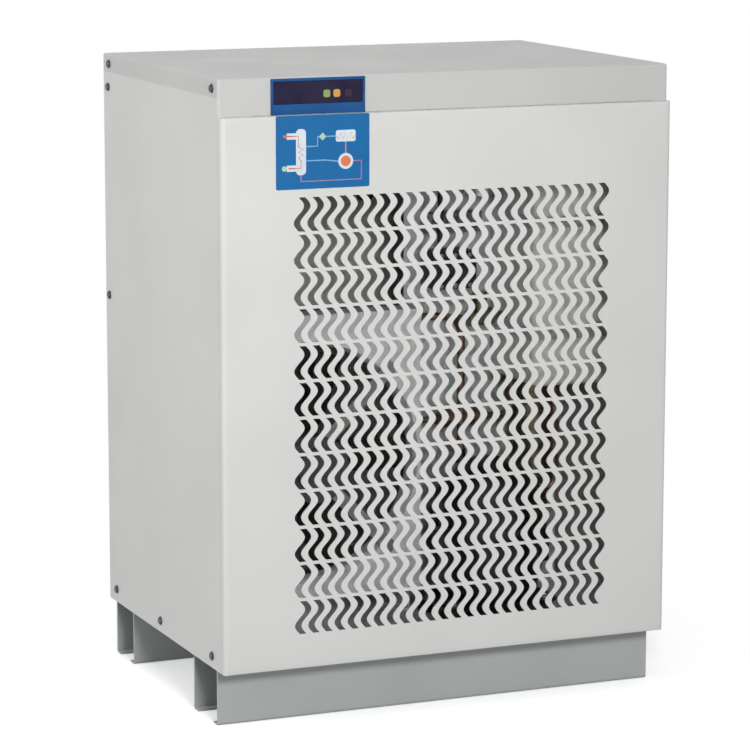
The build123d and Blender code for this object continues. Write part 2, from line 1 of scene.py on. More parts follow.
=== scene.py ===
import math

import bmesh
import bpy
from mathutils import Matrix, Vector


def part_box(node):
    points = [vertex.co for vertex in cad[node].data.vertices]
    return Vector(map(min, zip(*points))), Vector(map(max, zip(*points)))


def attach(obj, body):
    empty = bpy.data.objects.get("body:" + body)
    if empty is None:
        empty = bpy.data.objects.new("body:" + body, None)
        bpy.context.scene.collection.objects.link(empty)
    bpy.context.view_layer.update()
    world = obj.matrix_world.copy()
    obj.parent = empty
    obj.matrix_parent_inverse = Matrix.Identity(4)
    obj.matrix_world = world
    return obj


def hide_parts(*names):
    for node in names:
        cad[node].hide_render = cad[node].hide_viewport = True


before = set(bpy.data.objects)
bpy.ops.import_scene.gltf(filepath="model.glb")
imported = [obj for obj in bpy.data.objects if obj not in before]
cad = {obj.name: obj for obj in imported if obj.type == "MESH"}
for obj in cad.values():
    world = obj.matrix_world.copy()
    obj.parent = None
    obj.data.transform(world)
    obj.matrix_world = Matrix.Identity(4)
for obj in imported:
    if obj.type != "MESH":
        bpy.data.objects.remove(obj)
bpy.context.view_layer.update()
MM = 0.001

# Sizes of the grille, in metres, as the front panel's source has them
SHEET = 1.5 * MM
SLOT_COLUMNS = 24
SLOT_ROWS = 12
SLOT_PITCH_X = 16.27 * MM
SLOT_PITCH_Z = 42.2 * MM
SLOT_HEIGHT = 38.5 * MM
SLOT_WIDTH = 8.0 * MM
SLOT_WAVE = 6.3 * MM
SLOT_STEPS = 12
GRILLE_MIDDLE_X = 3.2 * MM
GRILLE_TOP = 611.0 * MM


# Modelling by hand, in code

def deselect():
    """Leaves edit mode and leaves nothing selected."""
    if bpy.context.object and bpy.context.object.mode != "OBJECT":
        bpy.ops.object.mode_set(mode="OBJECT")
    bpy.ops.object.select_all(action="DESELECT")


def choose(*pieces):
    """Selects these pieces alone; the first is the active one."""
    deselect()
    for piece in pieces:
        piece.select_set(True)
    bpy.context.view_layer.objects.active = pieces[0]


def edit(piece):
    """Opens one piece in edit mode with nothing selected."""
    choose(piece)
    bpy.ops.object.mode_set(mode="EDIT")
    bpy.ops.mesh.select_all(action="DESELECT")


def centre_of(item):
    """The middle of a vertex, an edge or a face."""
    if isinstance(item, bmesh.types.BMVert):
        return item.co
    if isinstance(item, bmesh.types.BMEdge):
        return (item.verts[0].co + item.verts[1].co) / 2
    return item.calc_center_median()


def pick(piece, part, test):
    """In edit mode, selects the vertices, edges or faces that pass a test on the item and its middle."""
    bpy.ops.mesh.select_mode(type=part)
    bpy.ops.mesh.select_all(action="DESELECT")
    shape = bmesh.from_edit_mesh(piece.data)
    items = {"VERT": shape.verts, "EDGE": shape.edges, "FACE": shape.faces}[part]
    for item in items:
        if test(item, centre_of(item)):
            item.select_set(True)
    shape.select_flush_mode()
    bmesh.update_edit_mesh(piece.data)


def extrude(move):
    """In edit mode, extrudes the selection and moves it."""
    bpy.ops.mesh.extrude_region_move(TRANSFORM_OT_translate={"value": move})


def apply_modifier(piece, kind, **settings):
    """Adds one modifier and applies it."""
    choose(piece)
    modifier = piece.modifiers.new(kind.title(), kind)
    for name, value in settings.items():
        setattr(modifier, name, value)
    bpy.ops.object.modifier_apply(modifier=modifier.name)


def block(low, high):
    """A box between two corners, as a start for a piece."""
    low, high = Vector(low), Vector(high)
    deselect()
    bpy.ops.mesh.primitive_cube_add(size=1, location=(low + high) / 2, scale=high - low)
    bpy.ops.object.transform_apply(location=True, rotation=True, scale=True)
    return bpy.context.object


def disc(place, axis, radius, length, sides):
    """A round or many-sided bar from a point along an axis, as a start for a piece."""
    axis = Vector(axis)
    deselect()
    bpy.ops.mesh.primitive_cylinder_add(vertices=sides, radius=radius, depth=length)
    piece = bpy.context.object
    piece.rotation_euler = axis.to_track_quat("Z", "Y").to_euler()
    piece.location = Vector(place) + axis * length / 2
    bpy.ops.object.transform_apply(location=True, rotation=True, scale=True)
    return piece


def wire(points):
    """A bare path through points: one corner, extruded on and on."""
    deselect()
    bpy.ops.mesh.primitive_plane_add(size=MM, location=points[0])
    piece = bpy.context.object
    edit(piece)
    bpy.ops.mesh.select_mode(type="VERT")
    bpy.ops.mesh.select_all(action="SELECT")
    bpy.ops.mesh.merge(type="CENTER")
    for start, end in zip(points, points[1:]):
        extrude(Vector(end) - Vector(start))
    choose(piece)
    bpy.ops.object.transform_apply(location=True, rotation=True, scale=True)
    return piece


def tube(points, radius, rings=2):
    """A round bar bent through points, drawn as a wire first and then given its thickness."""
    wire(points)
    bpy.ops.object.convert(target="CURVE")
    piece = bpy.context.object
    piece.data.bevel_depth = radius
    piece.data.bevel_resolution = rings
    piece.data.use_fill_caps = True
    bpy.ops.object.convert(target="MESH")
    return bpy.context.object


def stand(piece, place, axis):
    """Turns a piece drawn along Z to an axis and moves it to a place in millimetres."""
    turn = Vector(axis).to_track_quat("Z", "Y").to_matrix().to_4x4()
    piece.data.transform(Matrix.Translation(Vector(place) * MM) @ turn)
    return piece


def turned(profile, place, axis, steps=48):
    """A turned piece: a closed outline of radii and heights in millimetres, spun about an axis."""
    piece = wire([(radius * MM, 0, height * MM) for radius, height in (*profile, profile[0])])
    apply_modifier(piece, "SCREW", angle=2 * math.pi, steps=steps, render_steps=steps)
    edit(piece)
    bpy.ops.mesh.select_all(action="SELECT")
    bpy.ops.mesh.remove_doubles(threshold=0.001 * MM)
    bpy.ops.mesh.normals_make_consistent(inside=False)
    bpy.ops.object.mode_set(mode="OBJECT")
    return stand(piece, place, axis)


def inside_thread(minor, major, pitch, turns, place, axis):
    """The flanks of a thread in a bore, wound from the mouth inwards; they face the bore's middle."""
    piece = wire([(major * MM, 0, 0), (minor * MM, 0, pitch / 2 * MM), (major * MM, 0, pitch * MM)])
    apply_modifier(piece, "SCREW", angle=2 * math.pi, steps=36, render_steps=36, screw_offset=pitch * MM,
                   iterations=turns, use_merge_vertices=True, merge_threshold=0.001 * MM)
    edit(piece)
    bpy.ops.mesh.select_all(action="SELECT")
    bpy.ops.mesh.remove_doubles(threshold=0.001 * MM)
    bpy.ops.mesh.normals_make_consistent(inside=False)
    first = bmesh.from_edit_mesh(piece.data).faces[:][0]
    if first.normal.xy.dot(first.calc_center_median().xy) > 0:
        bpy.ops.mesh.flip_normals()
    bpy.ops.object.mode_set(mode="OBJECT")
    return stand(piece, place, axis)


def cut(piece, cutter):
    """Takes one shape out of a piece."""
    apply_modifier(piece, "BOOLEAN", object=cutter, operation="DIFFERENCE", solver="EXACT")
    bpy.data.objects.remove(cutter)


def flatten(piece, axis, place, factor):
    """Squeezes a piece along one axis about a place."""
    choose(piece)
    centre = [0, 0, 0]
    centre[axis] = place
    value = [1, 1, 1]
    value[axis] = factor
    bpy.ops.object.transform_apply(location=True, rotation=True, scale=True)
    edit(piece)
    bpy.ops.mesh.select_all(action="SELECT")
    bpy.ops.transform.resize(value=value, center_override=centre)
    bpy.ops.object.mode_set(mode="OBJECT")
    return piece


def soften(piece, width, segments=2, angle=40):
    """Rounds a piece's hard edges by a width."""
    limit = math.radians(angle)
    apply_modifier(piece, "BEVEL", width=width, segments=segments, limit_method="ANGLE", angle_limit=limit)


def copy_to(piece, matrix):
    """A copy with its own mesh, moved there."""
    twin = piece.copy()
    twin.data = piece.data.copy()
    twin.data.transform(matrix)
    bpy.context.scene.collection.objects.link(twin)
    return twin


def join(pieces):
    """Several pieces as one object."""
    choose(*pieces)
    bpy.ops.object.join()
    return bpy.context.object


def settle(piece, name, material, body="cabinet", replaced=(), angle=35):
    """Finishes a piece: its place in its mesh, smooth shading, a name, a material and a body to ride on."""
    choose(piece)
    bpy.ops.object.transform_apply(location=True, rotation=True, scale=True)
    bpy.ops.object.shade_smooth_by_angle(angle=math.radians(angle))
    piece.name = name
    piece.data.name = name
    if material:
        piece.data.materials.clear()
        piece.data.materials.append(material)
    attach(piece, body)
    if replaced:
        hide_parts(*replaced)
    return piece


# Materials

def hex_colour(code):
    """An sRGB hex colour as linear red, green, blue and alpha."""
    channels = [int(code[i:i + 2], 16) / 255 for i in (1, 3, 5)]
    return (*[c / 12.92 if c <= 0.04045 else ((c + 0.055) / 1.055) ** 2.4 for c in channels], 1.0)


def add_node(tree, kind, inputs=None, **settings):
    """One shader node with its settings; an input is a value or another node's output."""
    node = tree.nodes.new(kind)
    for name, value in settings.items():
        setattr(node, name, value)
    for name, value in (inputs or {}).items():
        if isinstance(value, bpy.types.NodeSocket):
            tree.links.new(value, node.inputs[name])
        else:
            node.inputs[name].default_value = value
    return node


def finish_of(name, colour, roughness, metallic=0.0, **sockets):
    """A new material with the values that are the same all over it: its tree, shader and place."""
    material = bpy.data.materials.new(name)
    material.use_nodes = True
    material.diffuse_color = hex_colour(colour)
    tree = material.node_tree
    shader = tree.nodes["Principled BSDF"]
    values = {"Base Color": hex_colour(colour), "Roughness": roughness, "Metallic": metallic}
    values.update({key.replace("_", " "): value for key, value in sockets.items()})
    for socket, value in values.items():
        shader.inputs[socket].default_value = value
    place = add_node(tree, "ShaderNodeTexCoord").outputs["Object"]
    return material, tree, shader, place


def noise(tree, place, grain, detail=2.0, rough=0.5):
    """A cloud pattern whose grains are that many millimetres wide."""
    settings = {"Vector": place, "Scale": 1000 / grain, "Detail": detail, "Roughness": rough}
    return add_node(tree, "ShaderNodeTexNoise", settings).outputs["Fac"]


def stretch(tree, place, scale):
    """The place, stretched along its axes."""
    return add_node(tree, "ShaderNodeMapping", {"Vector": place, "Scale": scale}).outputs["Vector"]


def shade(tree, shader, factor, low, high, start=0.3, end=0.7):
    """Colours the surface between two hex colours by a pattern."""
    ramp = add_node(tree, "ShaderNodeValToRGB", {"Fac": factor})
    ramp.color_ramp.elements[0].position = start
    ramp.color_ramp.elements[1].position = end
    ramp.color_ramp.elements[0].color = hex_colour(low)
    ramp.color_ramp.elements[1].color = hex_colour(high)
    tree.links.new(ramp.outputs["Color"], shader.inputs["Base Color"])
    return ramp


def gloss(tree, shader, factor, low, high):
    """Varies the roughness between two values by a pattern."""
    values = {"Value": factor, "From Min": 0.3, "From Max": 0.7, "To Min": low, "To Max": high}
    node = add_node(tree, "ShaderNodeMapRange", values)
    tree.links.new(node.outputs["Result"], shader.inputs["Roughness"])


def relief(tree, shader, height, depth, strength=1.0):
    """Raises the surface by a pattern, by a depth in millimetres."""
    node = add_node(tree, "ShaderNodeBump", {"Height": height, "Distance": depth * MM, "Strength": strength})
    tree.links.new(node.outputs["Normal"], shader.inputs["Normal"])


def powder_coat(name, low, high):
    """Polyester powder coat baked on sheet steel: satin, even, with a fine orange peel.
    The peel's 0.9 mm grains are drawn 1.8 mm wide so that they show."""
    material, tree, shader, place = finish_of(name, high, 0.42, IOR=1.5)
    shade(tree, shader, noise(tree, place, 160, 1.0), low, high)
    gloss(tree, shader, noise(tree, place, 60, 2.0), 0.40, 0.48)
    relief(tree, shader, noise(tree, place, 1.8, 1.0), 0.03, 0.35)
    return material


def galvanised(name, low="#BEC2C3", high="#DDE0E0", metal=0.5):
    """Hot dip galvanised sheet: dull grey zinc with 9 mm spangles that catch the light one by one."""
    material, tree, shader, place = finish_of(name, high, 0.45, metal)
    spangle = add_node(tree, "ShaderNodeTexVoronoi", {"Vector": place, "Scale": 1000 / 9.0})
    tone = add_node(tree, "ShaderNodeSeparateColor", {"Color": spangle.outputs["Color"]}).outputs["Red"]
    shade(tree, shader, tone, low, high, 0.0, 1.0)
    gloss(tree, shader, tone, 0.34, 0.52)
    relief(tree, shader, noise(tree, place, 4.0), 0.05, 0.3)
    return material


def black_oxide(name):
    """Black oxide on small steel screws: near black with a faint oily sheen."""
    material, tree, shader, place = finish_of(name, "#4A4D50", 0.45, 0.5)
    shade(tree, shader, noise(tree, place, 1.5, 3.0), "#3C3F42", "#5A5D61")
    gloss(tree, shader, noise(tree, place, 2.5), 0.30, 0.5)
    return material


def moulded(name, low, high, roughness, grain=0.7, depth=0.02, density=1.53):
    """Injection moulded plastic: one even colour under the fine spark texture of the mould."""
    material, tree, shader, place = finish_of(name, high, roughness, IOR=density)
    shade(tree, shader, noise(tree, place, 25, 2.0), low, high)
    gloss(tree, shader, noise(tree, place, 6, 2.0), roughness - 0.05, roughness + 0.07)
    relief(tree, shader, noise(tree, place, grain, 2.0), depth, 0.4)
    return material


def tinted_window(name):
    """Dark tinted acrylic over an unlit display: almost black with a violet depth and a wet gloss."""
    material, tree, shader, place = finish_of(name, "#15122C", 0.14, IOR=1.3)
    shade(tree, shader, noise(tree, place, 30, 1.0), "#141234", "#231C38")
    gloss(tree, shader, noise(tree, place, 12), 0.10, 0.18)
    return material


def lit_lens(name, colour, glow):
    """A small moulded lens with a lamp behind it: it glows evenly, with a clear skin."""
    material, tree, shader, place = finish_of(name, colour, 0.2, IOR=1.42, Coat_Weight=0.2)
    shade(tree, shader, noise(tree, place, 2.0), colour, colour)
    shader.inputs["Emission Color"].default_value = hex_colour(colour)
    shader.inputs["Emission Strength"].default_value = glow
    relief(tree, shader, noise(tree, place, 0.6), 0.02, 0.3)
    return material


def printed(name, low, high, roughness=0.42):
    """Screen printed polyester film: flat strong ink under a satin film with a very fine grain."""
    material, tree, shader, place = finish_of(name, high, roughness, IOR=1.38)
    shade(tree, shader, noise(tree, place, 35, 2.0), low, high)
    relief(tree, shader, noise(tree, place, 0.5), 0.01, 0.3)
    return material


def enamel(name, low, high, roughness):
    """Stoved enamel on pressed steel: a dark skin with a soft gloss and slow waves."""
    material, tree, shader, place = finish_of(name, high, roughness, IOR=1.5, Coat_Weight=0.3, Coat_Roughness=0.2)
    shade(tree, shader, noise(tree, place, 40, 2.0), low, high)
    gloss(tree, shader, noise(tree, place, 15, 2.0), roughness - 0.05, roughness + 0.1)
    relief(tree, shader, noise(tree, place, 3.0), 0.04, 0.3)
    return material


def drawn_copper(name):
    """Drawn copper tube some months old: warm metal, browned in clouds by air and by brazing."""
    material, tree, shader, place = finish_of(name, "#7E6455", 0.42, 0.65)
    shade(tree, shader, noise(tree, place, 18, 4.0), "#65503F", "#8E7262")
    gloss(tree, shader, noise(tree, place, 8, 3.0), 0.24, 0.45)
    relief(tree, shader, noise(tree, stretch(tree, place, (1, 1, 6)), 4.0), 0.02, 0.3)
    return material


def turned_brass(name):
    """Turned brass: yellow metal with the fine rings of the lathe and a dry, dull tarnish."""
    material, tree, shader, place = finish_of(name, "#80775E", 0.42, 0.9)
    shade(tree, shader, noise(tree, place, 12, 3.0), "#6A6350", "#8C8268")
    gloss(tree, shader, noise(tree, place, 5, 3.0), 0.25, 0.45)
    relief(tree, shader, noise(tree, stretch(tree, place, (1, 9, 1)), 5.0), 0.02, 0.3)
    return material


def bare_metal(name, low, high, roughness, grain):
    """Bare ground or rolled metal: a grey mirror broken by fine scratches."""
    material, tree, shader, place = finish_of(name, high, roughness, 1.0)
    shade(tree, shader, noise(tree, place, 20, 3.0), low, high)
    gloss(tree, shader, noise(tree, place, grain, 3.0), roughness - 0.06, roughness + 0.1)
    relief(tree, shader, noise(tree, place, grain), 0.02, 0.3)
    return material


def foam_wrap(name):
    """Closed cell foam wrapped in white film: a dull white skin with shallow cells, a little darker and lighter in
    large soft clouds.
    """
    material, tree, shader, place = finish_of(name, "#F1F1EE", 0.6, IOR=1.4)
    shade(tree, shader, noise(tree, place, 60, 3.0), "#E6E6E2", "#F6F6F3")
    cells = add_node(tree, "ShaderNodeTexVoronoi", {"Vector": place, "Scale": 1000 / 3.0}).outputs["Distance"]
    relief(tree, shader, cells, 0.25, 0.5)
    return material


def rubber(name):
    """Moulded black rubber: matt, with a bloom of grey dust in its pores."""
    material, tree, shader, place = finish_of(name, "#1C1C1D", 0.75, IOR=1.52)
    shade(tree, shader, noise(tree, place, 5, 4.0), "#161617", "#2B2B2C")
    relief(tree, shader, noise(tree, place, 0.8), 0.04, 0.5)
    return material


COAT = powder_coat("light grey powder coat", "#CECFCC", "#D3D3D1")
# The lid takes a darker copy of the same coat: painted shade, so that the top and the header read darker than the
# front
LID_COAT_WITH_PAINTED_SHADE = powder_coat("light grey powder coat on the lid with painted shade", "#BFBFBE", "#C4C4C2")
# The base takes a darker copy of the coat: painted shade for the channels that stand low under the cabinet, outside
# and inside
BASE_COAT_WITH_PAINTED_SHADE = powder_coat("grey powder coat on the base with painted shade", "#A6AAAA", "#AEB3B2")
ZINC = galvanised("galvanised sheet steel")
BRIGHT_ZINC = galvanised("bright new galvanised sheet", "#E6E9E9", "#F6F7F7", 0.15)
OXIDE = black_oxide("black oxide steel")
BLUE_PLASTIC = moulded("blue moulded ABS", "#00447C", "#004D88", 0.5, density=1.36)
WINDOW = tinted_window("tinted acrylic window")
GREEN_LAMP = lit_lens("green lamp lens", "#7F9549", 0.14)
AMBER_LAMP = lit_lens("amber lamp lens", "#C98C3A", 0.14)
RED_LAMP = lit_lens("dark red lamp lens", "#240D26", 0.0)
BLUE_FILM = printed("blue printed polyester film", "#005D98", "#00649F")
PALE_INK = printed("pale blue white ink", "#C6D3DF", "#D4DDE4", 0.45)
RED_INK = printed("orange red ink", "#CA6944", "#D57A53", 0.45)
PINK_INK = printed("pink ink", "#AC769C", "#BA86A9", 0.45)
GREEN_INK = printed("pale green ink", "#9DC4A4", "#AFD0B3", 0.45)
LINE_INK = printed("light blue ink", "#76A4CD", "#88B1D4", 0.45)
BLACK_NYLON = moulded("black moulded nylon", "#141415", "#1E1E20", 0.5)
FAN_PLASTIC = moulded("dark brown black fan plastic", "#1D1514", "#2B1F1D", 0.42, 1.2)
GREY_PLASTIC = moulded("grey moulded polyamide", "#6A6D70", "#787B7E", 0.5)
MOTOR_ENAMEL = enamel("grey stoved enamel", "#3C3F42", "#484B4E", 0.45)
SHELL_ENAMEL = enamel("black stoved enamel", "#0D0E10", "#16171A", 0.32)
COPPER = drawn_copper("drawn copper")
BRASS = turned_brass("turned brass")
STEEL = bare_metal("ground steel bar", "#9A9C9D", "#B5B7B8", 0.28, 3.0)
ZINC_PLATE = bare_metal("zinc plated steel", "#858786", "#9B9D9B", 0.32, 5.0)
FIN_ALLOY = bare_metal("rolled aluminium fin", "#B4B7B9", "#CBCDCE", 0.35, 6.0)
CAN_ALLOY = bare_metal("drawn aluminium can", "#C0C2C3", "#D4D6D6", 0.30, 8.0)
FOAM = foam_wrap("white foam in film")
RUBBER = rubber("black rubber")
CABLE = moulded("black cable sheath", "#121213", "#1B1B1C", 0.45, 0.5)
MILKY_TUBE = moulded("milky polyurethane tube", "#C9C9C2", "#D9D9D2", 0.3, 2.0)

node_finish = {
    "front_base_channel": BASE_COAT_WITH_PAINTED_SHADE, "rear_base_channel": BASE_COAT_WITH_PAINTED_SHADE, "base_pan": ZINC,
    "left_side_panel": COAT, "right_side_panel": COAT, "rear_panel": COAT, "top_cover": LID_COAT_WITH_PAINTED_SHADE,
    "front_panel": COAT, "front_top_rail": ZINC, "left_front_post": ZINC, "right_front_post": ZINC,
    "front_panel_clips": STEEL, "left_side_screws": OXIDE, "right_side_screws": OXIDE,
    "rear_panel_screws": OXIDE, "component_plate": ZINC, "controller_housing": BLACK_NYLON,
    "display_bezel": BLUE_PLASTIC, "display_window": WINDOW, "status_lamps": AMBER_LAMP,
    "schematic_label": BLUE_FILM, "fan_shroud": BRIGHT_ZINC, "fan_wheel": FAN_PLASTIC, "fan_shaft": STEEL,
    "fan_motor": MOTOR_ENAMEL, "motor_bracket": ZINC_PLATE, "condenser_coil": FIN_ALLOY,
    "condenser_left_plate": ZINC, "condenser_right_plate": ZINC, "compressor_shell": SHELL_ENAMEL,
    "compressor_foot_plate": SHELL_ENAMEL, "compressor_mounts": RUBBER, "compressor_bolts": ZINC_PLATE,
    "compressor_terminal_cover": BLACK_NYLON, "exchanger_jacket": FOAM, "exchanger_straps": ZINC,
    "exchanger_bracket": ZINC, "moisture_separator": BRASS, "drain_valve": BRASS,
    "drain_valve_coil": BLACK_NYLON, "drain_tube": MILKY_TUBE, "drain_port": BRASS,
    "air_inlet_port": BRASS, "air_outlet_port": BRASS, "air_inlet_pipe": COPPER,
    "air_outlet_pipe": COPPER, "port_lock_nuts": BRASS, "cable_gland": BLACK_NYLON,
    "discharge_line": COPPER, "suction_line": COPPER, "liquid_line": COPPER,
    "condenser_outlet_line": COPPER, "filter_drier": COPPER, "hot_gas_valve": BRASS,
    "contactor": BLACK_NYLON, "terminal_block": GREY_PLASTIC, "run_capacitor": CAN_ALLOY,
    "capacitor_clip": ZINC, "control_cable": CABLE,
}
for node_name, finish in node_finish.items():
    cad[node_name].data.materials.clear()
    cad[node_name].data.materials.append(finish)
    choose(cad[node_name])
    bpy.ops.object.shade_smooth_by_angle(angle=math.radians(30))


# The front panel

def wave_at(part):
    """How far a slot's middle line stands to the right, at a part of its height from its top."""
    sharpness = 0.5
    return SLOT_WAVE * math.asin(sharpness * math.sin(2 * math.pi * part)) / math.asin(sharpness)


def front_panel():
    """The front tray. A row of strips and slots is drawn down through the wave and repeated,
    the slots are opened, and the border is drawn out round the grille and folded back."""
    low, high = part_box("front_panel")
    high = high + Vector((0, 0, MM))
    strip = SLOT_PITCH_X - SLOT_WIDTH
    left = GRILLE_MIDDLE_X - SLOT_COLUMNS / 2 * SLOT_PITCH_X - strip / 2
    right = left + SLOT_COLUMNS * SLOT_PITCH_X + strip
    gap = SLOT_PITCH_Z - SLOT_HEIGHT
    top = GRILLE_TOP + gap
    face = low.y
    deselect()
    bpy.ops.mesh.primitive_plane_add(size=1, location=(left + strip / 2, face, top - gap / 2))
    panel = bpy.context.object
    panel.rotation_euler = (math.pi / 2, 0, 0)
    panel.scale = (strip, gap, 1)
    bpy.ops.object.transform_apply(location=True, rotation=True, scale=True)
    edit(panel)
    pick(panel, "EDGE", lambda edge, at: at.x > left + strip - MM)
    extrude((SLOT_WIDTH, 0, 0))
    bpy.ops.object.mode_set(mode="OBJECT")
    apply_modifier(panel, "ARRAY", count=SLOT_COLUMNS, use_relative_offset=False, use_constant_offset=True,
                   constant_offset_displace=(SLOT_PITCH_X, 0, 0), use_merge_vertices=True, merge_threshold=0.01 * MM)
    edit(panel)
    pick(panel, "EDGE", lambda edge, at: at.x > right - strip - 0.1 * MM)
    extrude((strip, 0, 0))
    pick(panel, "EDGE", lambda edge, at: at.z < top - gap + 0.1 * MM)
    for step in range(SLOT_STEPS):
        shift = wave_at((step + 1) / SLOT_STEPS) - wave_at(step / SLOT_STEPS)
        extrude((shift, 0, -SLOT_HEIGHT / SLOT_STEPS))
    panel.data.materials.append(COAT)
    panel.data.materials.append(COAT)
    shape = bmesh.from_edit_mesh(panel.data)
    for item in shape.faces:
        at = item.calc_center_median()
        part = (top - gap - at.z) / SLOT_HEIGHT
        column = ((at.x - wave_at(max(part, 0)) - left) / SLOT_PITCH_X) % 1
        item.material_index = int(part > 0 and column > strip / SLOT_PITCH_X)
    bmesh.update_edit_mesh(panel.data)
    bpy.ops.object.mode_set(mode="OBJECT")
    apply_modifier(panel, "ARRAY", count=SLOT_ROWS, use_relative_offset=False, use_constant_offset=True,
                   constant_offset_displace=(0, 0, -SLOT_PITCH_Z), use_merge_vertices=True, merge_threshold=0.01 * MM)
    edit(panel)
    bottom = top - SLOT_ROWS * SLOT_PITCH_Z
    pick(panel, "EDGE", lambda edge, at: at.z < bottom + 0.1 * MM)
    extrude((0, 0, -gap))
    pick(panel, "FACE", lambda item, at: item.material_index == 1 and at.z > bottom)
    bpy.ops.mesh.delete(type="FACE")
    rim = 7 * MM
    for side, edge_x in ((-1, low.x), (1, high.x)):
        near = left if side < 0 else right
        reach = SLOT_WAVE + MM
        pick(panel, "EDGE", lambda edge, at: edge.is_boundary and abs(at.x - near) < reach
             and abs(edge.verts[0].co.z - edge.verts[1].co.z) > MM and side * (at.x - near) > -reach
             and len({vert for vert in edge.verts if vert.is_boundary}) == 2 and outermost(edge, side))
        extrude((side * MM, 0, 0))
        bpy.ops.transform.resize(value=(0, 1, 1), center_override=(edge_x - side * rim, 0, 0))
        extrude((side * rim, 0, 0))
    pick(panel, "EDGE", lambda edge, at: at.z > top - 0.1 * MM)
    extrude((0, 0, high.z - top - rim))
    extrude((0, 0, rim))
    pick(panel, "EDGE", lambda edge, at: at.z < bottom - gap + 0.1 * MM)
    extrude((0, 0, low.z - bottom + gap + rim))
    extrude((0, 0, -rim))
    fold_back(panel, low, high)
    return settle(panel, "front_panel_with_wave_slots", COAT, replaced=["front_panel"])


def outermost(edge, side):
    """Whether an upright edge is on the sheet's own outline and not on a slot's."""
    for item in edge.link_faces:
        return side * (item.calc_center_median().x - centre_of(edge).x) < 0
    return False


def fold_back(panel, low, high):
    """Folds the sheet's four borders back, rounds the folds and gives the sheet its thickness."""
    depth = high.y - low.y - 0.8 * MM
    near = 0.1 * MM
    pick(panel, "EDGE", lambda edge, at: at.x < low.x + near or at.x > high.x - near
         or at.z < low.z + near or at.z > high.z - near)
    extrude((0, depth, 0))
    pick(panel, "EDGE", lambda edge, at: at.y < low.y + near and (at.x < low.x + near or at.x > high.x - near))
    bpy.ops.mesh.bevel(offset=5 * MM, segments=6, affect="EDGES")
    pick(panel, "EDGE", lambda edge, at: at.y < low.y + near and (at.z < low.z + near or at.z > high.z - near))
    bpy.ops.mesh.bevel(offset=1.2 * MM, segments=3, affect="EDGES")
    bpy.ops.mesh.select_all(action="SELECT")
    bpy.ops.mesh.normals_make_consistent(inside=False)
    bpy.ops.object.mode_set(mode="OBJECT")
    apply_modifier(panel, "SOLIDIFY", thickness=SHEET, offset=-1)


front_panel()


# Screws

def flange_screw():
    """A hexagon head on a pressed flange, standing on the origin along Z, with softened corners."""
    flange = disc((0, 0, 0), (0, 0, 1), 5.4 * MM, 0.9 * MM, 24)
    soften(flange, 0.3 * MM, 2)
    head = disc((0, 0, 0.85 * MM), (0, 0, 1), 4.5 * MM, 1.65 * MM, 6)
    edit(head)
    pick(head, "FACE", lambda face, at: at.z > 2.4 * MM)
    bpy.ops.mesh.inset(thickness=0.7 * MM)
    bpy.ops.mesh.inset(thickness=0.9 * MM)
    extrude((0, 0, -0.35 * MM))
    pick(head, "EDGE", lambda edge, at: at.z > 2.4 * MM and at.xy.length > 3.6 * MM)
    bpy.ops.transform.resize(value=(0.97, 0.97, 1), center_override=(0, 0, 0))
    bpy.ops.object.mode_set(mode="OBJECT")
    soften(head, 0.18 * MM, 1)
    return join([head, flange])


def screws(name, node, places, direction):
    """One screw copied to its places, all of them facing one way, each turned a little differently."""
    turn = Vector(direction).to_track_quat("Z", "Y").to_matrix().to_4x4()
    first = flange_screw()
    twins = []
    for index, place in enumerate(places):
        spin = Matrix.Rotation(index * 0.7, 4, "Z")
        twins.append(copy_to(first, Matrix.Translation(Vector(place) * MM) @ turn @ spin))
    bpy.data.objects.remove(first)
    settle(join(twins), name, OXIDE, replaced=[node])


side_places = ((179, 734), (-182, 734), (183, 706), (187, 451), (173, 84), (9, 82), (-170, 82))
screws("left_side_flange_screws", "left_side_screws", [(-280, y, z) for y, z in side_places], (-1, 0, 0))
screws("right_side_flange_screws", "right_side_screws", [(280, y, z) for y, z in side_places], (1, 0, 0))
rear_places = [(x, 198.5, z) for x in (-268, 268) for z in (110, 290, 470, 650)]
screws("rear_flange_screws", "rear_panel_screws", rear_places, (0, 1, 0))


# Display and flow diagram

